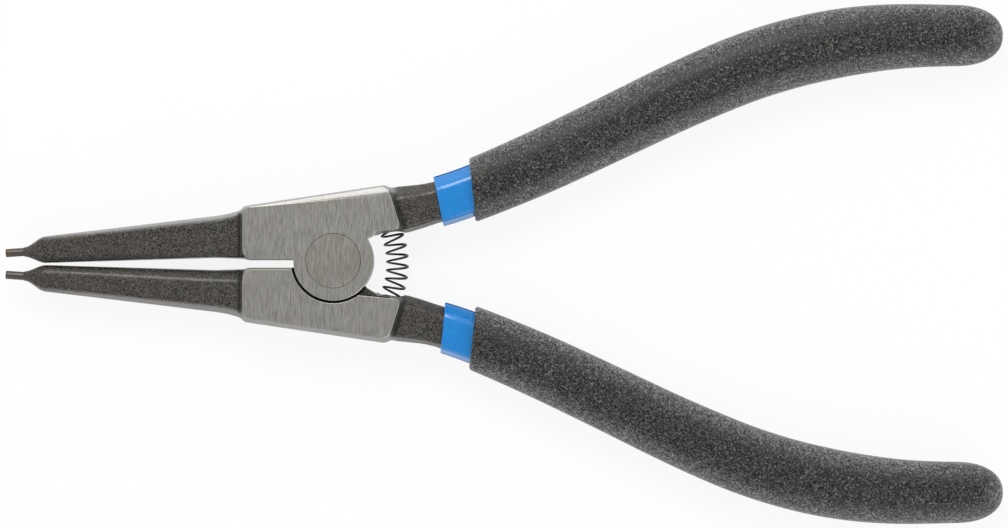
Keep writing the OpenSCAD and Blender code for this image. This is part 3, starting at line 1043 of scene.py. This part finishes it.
def outerGrip(guide):
    p = grip
    mouth = mouthS + p["lip"]
    outer = lipStations(gripStations(mouth, p["rows"]), p["lip"], 1)
    inner = tangStations(mouthS, sleeve["wall"] + 2 * sleeve["gap"], p["rows"])
    obj = cup("upperGrip", skin("gripSkin", outer, p["section"], p["lean"]),
        skin("gripBore", inner, sleeve["section"], p["lean"]))
    bendOnto(obj, guide)
    dress(obj, ["blackPlastic"])
    shadeSmooth(obj, 40)
    return obj


def settle(piece, node, body):
    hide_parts(node)
    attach(piece, body)


# Puts a piece on the upper half and a turned copy of it on the lower one
def placePair(obj, lowerName, upperNode, lowerNode):
    twin = copyPiece(obj, lowerName)
    placeUpper(obj)
    placeLower(twin)
    settle(obj, upperNode, "upper_arm")
    settle(twin, lowerNode, "lower_arm")


# Noise behind the outputs of the grain group: the input with its size, its detail, and the range drawn on
noises = {
    "Height": ("Grain", 3, 0.25, 0.75),
    "Specks": ("Speck", 1, 0.58, 0.72),
    "Patches": ("Patch", 4, 0.35, 0.65),
}
strokeRange = (0.085, 0.02)     # how far from its middle value the noise makes a stroke


# Divides by a size in millimetres
def noiseScale(group, size):
    scale = addNode(group, "ShaderNodeMath", operation="DIVIDE")
    scale.inputs[0].default_value = 1 / mm
    group.links.new(size, scale.inputs[1])
    return scale.outputs[0]


# Finishes. One group gives grain, specks, patches and worm-like strokes at sizes in millimetres.
def grainGroup():
    group = bpy.data.node_groups.new("surfaceGrain", "ShaderNodeTree")
    face = group.interface
    defaults = {"Grain": 0.4, "Speck": 0.3, "Patch": 5.0, "Stroke": 0.5, "Stretch X": 1.0, "Stretch Y": 1.0}
    for name, value in defaults.items():
        socket = face.new_socket(name=name, in_out="INPUT", socket_type="NodeSocketFloat")
        socket.default_value = value
    for name in ("Height", "Specks", "Patches", "Strokes"):
        face.new_socket(name=name, in_out="OUTPUT", socket_type="NodeSocketFloat")
    link = group.links.new
    given = addNode(group, "NodeGroupInput")
    out = addNode(group, "NodeGroupOutput")
    place = addNode(group, "ShaderNodeTexCoord")
    stretch = addNode(group, "ShaderNodeCombineXYZ", Z=1.0)
    link(given.outputs["Stretch X"], stretch.inputs["X"])
    link(given.outputs["Stretch Y"], stretch.inputs["Y"])
    spread = addNode(group, "ShaderNodeVectorMath", operation="MULTIPLY")
    link(place.outputs["Object"], spread.inputs[0])
    link(stretch.outputs[0], spread.inputs[1])
    for output, (size, detail, low, high) in noises.items():
        noise = addNode(group, "ShaderNodeTexNoise", Detail=detail, Roughness=0.6)
        link(noiseScale(group, given.outputs[size]), noise.inputs["Scale"])
        link((place.outputs["Object"] if output == "Patches" else spread.outputs[0]), noise.inputs["Vector"])
        fit = addNode(group, "ShaderNodeMapRange")
        fit.inputs["From Min"].default_value = low
        fit.inputs["From Max"].default_value = high
        link(noise.outputs["Fac"], fit.inputs["Value"])
        link(fit.outputs["Result"], out.inputs[output])
    waves = addNode(group, "ShaderNodeTexNoise", Detail=1.0, Roughness=0.5, Distortion=0.6)
    link(noiseScale(group, given.outputs["Stroke"]), waves.inputs["Scale"])
    link(place.outputs["Object"], waves.inputs["Vector"])
    middle = addNode(group, "ShaderNodeMath", operation="SUBTRACT")
    middle.inputs[1].default_value = 0.5
    away = addNode(group, "ShaderNodeMath", operation="ABSOLUTE")
    ridge = addNode(group, "ShaderNodeMapRange")
    ridge.inputs["From Min"].default_value, ridge.inputs["From Max"].default_value = strokeRange
    link(waves.outputs["Fac"], middle.inputs[0])
    link(middle.outputs[0], away.inputs[0])
    link(away.outputs[0], ridge.inputs["Value"])
    link(ridge.outputs["Result"], out.inputs["Strokes"])
    return group


# A mix of two colours or colour sockets by a mask socket
def colourMix(tree, factor, a, b, amount=1.0):
    node = addNode(tree, "ShaderNodeMix", data_type="RGBA")
    if amount != 1.0:
        part = addNode(tree, "ShaderNodeMath", operation="MULTIPLY")
        part.inputs[1].default_value = amount
        tree.links.new(factor, part.inputs[0])
        factor = part.outputs[0]
    tree.links.new(factor, node.inputs["Factor"])
    for name, value in (("A", a), ("B", b)):
        if isinstance(value, tuple):
            node.inputs[name].default_value = (*value, 1)
        else:
            tree.links.new(value, node.inputs[name])
    return node.outputs["Result"]


def rangeOf(tree, value, low, high):
    node = addNode(tree, "ShaderNodeMapRange")
    node.inputs["To Min"].default_value = low
    node.inputs["To Max"].default_value = high
    tree.links.new(value, node.inputs["Value"])
    return node.outputs["Result"]


# A finish from the grain group: colours from dark to light, specks, patches and bump height in mm.
# Marks are attributes of the mesh, each with the colour that it blends in, how much of it, and the share of
# that in the hollows of the grain.
def finish(name, grain, dark, light, speck, patch, roughness, bump, metallic=0.0, specular=0.5,
        patchAmount=0.5, speckAmount=0.5, coat=0.0, coatRoughness=0.1, sheen=0.0, sheenRoughness=0.35,
        sheenTint=(0.92, 0.90, 1.0), relief="Height", marks=(), **sizes):
    paint = bpy.data.materials.new(name)
    tree = nodeTree(paint)
    link = tree.links.new
    out = addNode(tree, "ShaderNodeOutputMaterial")
    surface = addNode(tree, "ShaderNodeBsdfPrincipled")
    surface.inputs["Metallic"].default_value = metallic
    surface.inputs["Specular IOR Level"].default_value = specular
    surface.inputs["Coat Weight"].default_value = coat
    surface.inputs["Coat Roughness"].default_value = coatRoughness
    surface.inputs["Sheen Weight"].default_value = sheen
    surface.inputs["Sheen Roughness"].default_value = sheenRoughness
    surface.inputs["Sheen Tint"].default_value = (*sheenTint, 1)
    effect = addNode(tree, "ShaderNodeGroup")
    effect.node_tree = grain
    for key, value in sizes.items():
        effect.inputs[key.replace("_", " ")].default_value = value
    colour = colourMix(tree, effect.outputs[relief], dark, light)
    colour = colourMix(tree, effect.outputs["Patches"], colour, patch, patchAmount)
    colour = colourMix(tree, effect.outputs["Specks"], colour, speck, speckAmount)
    for mark, tint, amount, inHollows in marks:
        where = addNode(tree, "ShaderNodeAttribute", attribute_name=mark)
        share = addNode(tree, "ShaderNodeMath", operation="MULTIPLY")
        link(where.outputs["Fac"], share.inputs[0])
        link(rangeOf(tree, effect.outputs[relief], inHollows, 1), share.inputs[1])
        colour = colourMix(tree, share.outputs[0], colour, tint, amount)
    link(colour, surface.inputs["Base Color"])
    link(rangeOf(tree, effect.outputs[relief], *roughness), surface.inputs["Roughness"])
    bumps = addNode(tree, "ShaderNodeBump", Strength=1.0, Distance=bump * mm)
    link(effect.outputs[relief], bumps.inputs["Height"])
    link(bumps.outputs["Normal"], surface.inputs["Normal"])
    link(surface.outputs[0], out.inputs[0])
    return paint


finishes = {
    "forgedSteel": dict(dark=(0.009, 0.0075, 0.006), light=(0.102, 0.094, 0.082), speck=(0.28, 0.26, 0.23),
        patch=(0.054, 0.041, 0.030), roughness=(0.32, 0.50), bump=0.028, metallic=0.35, coat=0.3,
        coatRoughness=0.3, relief="Strokes", Stroke=0.40, Grain=0.3, Speck=0.22, Patch=5.0, patchAmount=0.45,
        # The first mark lightens the outer flank, partly rubbed and partly a painted reflection, and colours
        # the rubbed band
        speckAmount=0.5, marks=(("rubAndSheen", (0.33, 0.325, 0.328), 0.95, 0.75),
            # The near-black mark is painted shade in grooves and along the jaw's inner edge
            ("scale", (0.003, 0.0025, 0.002), 0.97, 1), ("rust", (0.13, 0.082, 0.048), 0.8, 0.6))),
    "groundSteel": dict(dark=(0.24, 0.23, 0.208), light=(0.52, 0.505, 0.475), speck=(0.16, 0.15, 0.125),
        patch=(0.38, 0.36, 0.32), roughness=(0.34, 0.46), bump=0.009, metallic=0.92, Grain=0.13, Speck=0.2,
        Patch=7.0, patchAmount=0.35, speckAmount=0.4, Stretch_Y=0.07,
        marks=(("rubAndSheen", (0.25, 0.246, 0.238), 0.85, 1),)),
    "turnedSteel": dict(dark=(0.055, 0.053, 0.050), light=(0.12, 0.118, 0.112), speck=(0.14, 0.085, 0.05),
        patch=(0.11, 0.08, 0.058), roughness=(0.3, 0.45), bump=0.008, metallic=0.6, Grain=0.2, Speck=0.5,
        Patch=1.5, patchAmount=0.35, speckAmount=0.3, Stretch_Y=0.3,
        marks=(("rust", (0.15, 0.095, 0.055), 0.85, 0.8),)),
    "rivetSteel": dict(dark=(0.22, 0.21, 0.185), light=(0.49, 0.475, 0.44), speck=(0.14, 0.125, 0.095),
        patch=(0.34, 0.32, 0.27), roughness=(0.34, 0.48), bump=0.009, metallic=0.92, Grain=0.13, Speck=0.25,
        Patch=3.0, patchAmount=0.45, speckAmount=0.45, Stretch_Y=0.07),
    "springBlack": dict(dark=(0.010, 0.009, 0.008), light=(0.022, 0.020, 0.018), speck=(0.09, 0.085, 0.08),
        patch=(0.03, 0.025, 0.02), roughness=(0.28, 0.4), bump=0.004, metallic=0.4, Grain=0.25, Speck=0.4,
        Patch=2.0, speckAmount=0.2),
    "bluePlastic": dict(dark=(0.003, 0.205, 0.585), light=(0.006, 0.230, 0.630), speck=(0.02, 0.27, 0.68),
        patch=(0.002, 0.18, 0.55), roughness=(0.20, 0.28), bump=0.003, specular=0.62, Grain=0.9, Speck=1.2,
        Patch=4.0, patchAmount=0.4, speckAmount=0.2),
    "blackPlastic": dict(dark=(0.0003, 0.00025, 0.0002), light=(0.088, 0.082, 0.074),
        # Painted glints: the light specks stand for sparkles of light on the grain
        speck=(0.27, 0.265, 0.26),
        patch=(0.009, 0.006, 0.0045), roughness=(0.40, 0.60), bump=0.13, relief="Strokes", Stroke=0.50,
        Grain=0.42, Speck=0.36, Patch=9.0, patchAmount=0.40, speckAmount=0.7, specular=0.40, sheen=0.28,
        # Painted sheen: a lighter colour towards the grip's sides and its end
        marks=(("rubAndSheen", (0.38, 0.372, 0.386), 0.85, 0.12),)),
}


def dress(obj, names):
    obj.data.materials.clear()
    for name in names:
        obj.data.materials.append(bpy.data.materials[name])


grain = grainGroup()
for finishName, values in finishes.items():
    finish(finishName, grain, **values)

setCamera()
setStudio()
setFloor()
dress(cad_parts["pivot_rivet"], ["rivetSteel"])
guide = handleLine()
upperForging = forgedHalf("upperForging", guide, -middleY, 1.0, 1)
placeUpper(upperForging)
settle(upperForging, "upper_half", "upper_arm")
lowerForging = forgedHalf("lowerForging", guide, middleY, 0.5, 0)
placeLower(lowerForging)
settle(lowerForging, "lower_half", "lower_arm")
upperSleeve = innerSleeve("upperSleeve", guide, *sleeve["upper"])
placeUpper(upperSleeve)
settle(upperSleeve, "upper_inner_sleeve", "upper_arm")
lowerSleeve = innerSleeve("lowerSleeve", guide, *sleeve["lower"])
placeLower(lowerSleeve)
settle(lowerSleeve, "lower_inner_sleeve", "lower_arm")
print("sleeves on")
placePair(outerGrip(guide), "lowerGrip", "upper_grip", "lower_grip")
print("grips on")
bpy.data.objects.remove(guide)
springCoil = returnSpring()
placeUpper(springCoil)
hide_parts("return_spring")
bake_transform(springCoil)
